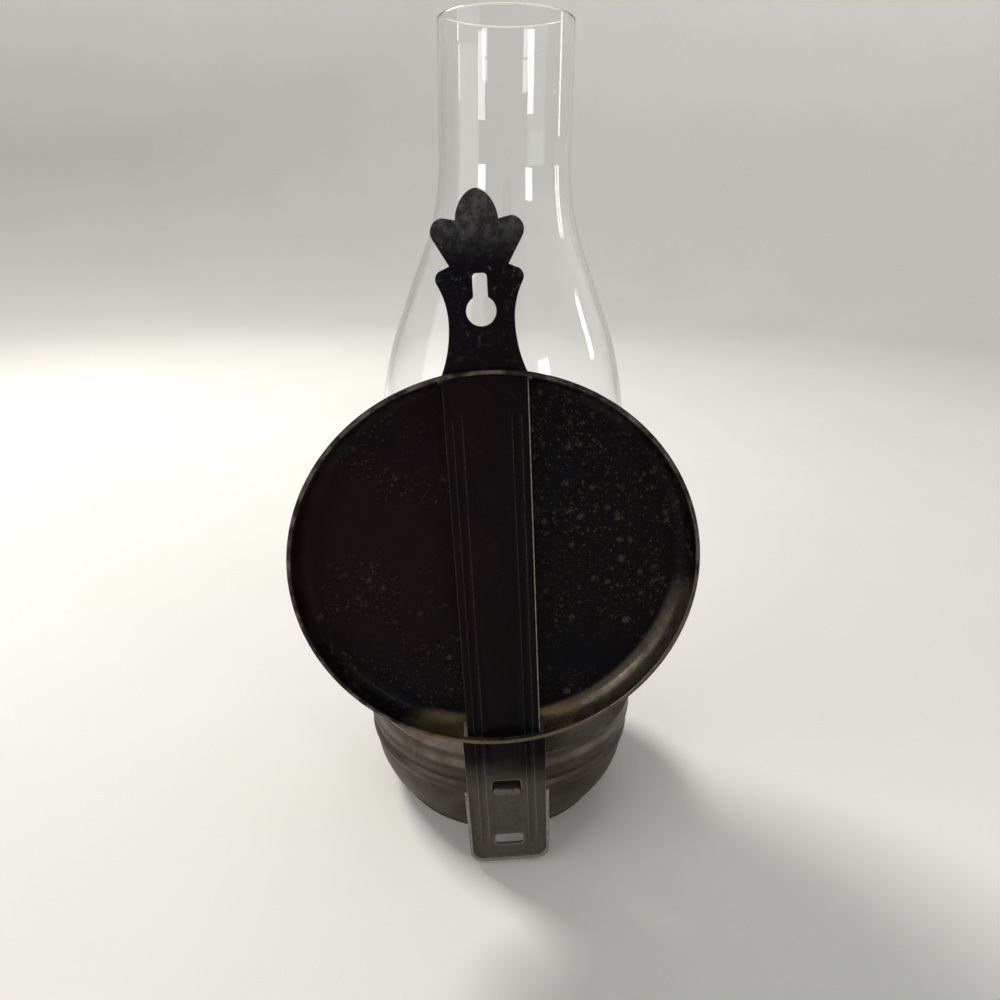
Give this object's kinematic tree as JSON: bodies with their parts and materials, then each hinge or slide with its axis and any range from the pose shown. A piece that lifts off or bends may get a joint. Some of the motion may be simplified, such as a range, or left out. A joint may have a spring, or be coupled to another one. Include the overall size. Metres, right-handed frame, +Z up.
{
  "type": "hurricane lamp wall sconce",
  "caption": "Tin oil lamp with a flat wick burner and a glass chimney, hooked to a stamped wall strip that carries a round reflector and hangs by a keyhole.",
  "frame": {"origin": "centre of the underside of the font's base, on the table", "axes": "+Z up along the lamp's axis, +Y towards the wall, +X towards the thumb wheel"},
  "size_m": [0.1526, 0.1382, 0.3333],
  "materials": {
    "black_paint": "worn satin",
    "font_tin": "worn, dull",
    "steel_wire": "dull",
    "burner_brass": "tarnished",
    "wick_cotton": "woven",
    "clear_glass": "clear"
  },
  "bodies": {
    "font": {"font_bowl": "font_tin", "font_base": "font_tin", "font_top": "font_tin", "collar": "burner_brass", "hook_bracket": "font_tin"},
    "burner": {"burner_plug": "burner_brass", "air_basket": "burner_brass", "air_diffuser": "burner_brass", "wick_tube": "burner_brass", "vent_tube": "burner_brass", "spur_housing": "burner_brass", "spindle_sleeve": "burner_brass", "chimney_gallery": "burner_brass", "flame_dome": "burner_brass"},
    "spindle": {"spindle": "burner_brass", "spur_wheels": "burner_brass", "thumb_wheel": "burner_brass"},
    "wick": {"wick": "wick_cotton"},
    "chimney": {"glass_chimney": "clear_glass"},
    "wall_strip": {"wall_strip": "black_paint"},
    "reflector": {"reflector_pan": "black_paint", "rim_wire": "steel_wire"}
  },
  "joints": [
    {"name": "burner_lift", "type": "slide", "parent": "font", "child": "burner", "axis": [0, 0, 1], "range_m": [0, 0.025]},
    {"name": "wick_turn", "type": "hinge", "parent": "burner", "child": "spindle", "pos_m": [0, -0.0056, 0.0666], "axis": [1, 0, 0], "range_deg": [-80, 100]},
    {"name": "wick_rise", "type": "slide", "parent": "burner", "child": "wick", "axis": [0, 0, 1], "range_m": [-0.0061, 0.0076]},
    {"name": "chimney_lift", "type": "slide", "parent": "burner", "child": "chimney", "axis": [0, 0, 1], "range_m": [0, 0.04]},
    {"name": "strip_lean", "type": "hinge", "parent": "font", "child": "wall_strip", "pos_m": [0, 0.0705, 0.0401], "axis": [0, 1, 0], "range_deg": [-7.1, 0.9]},
    {"name": "reflector_slide", "type": "slide", "parent": "wall_strip", "child": "reflector", "axis": [0.0541, 0, 0.9985], "range_m": [0, 0.215]}
  ],
  "couplings": [
    {"joint": "wick_rise", "follows": "wick_turn", "m_per_rad": 0.0043}
  ]
}
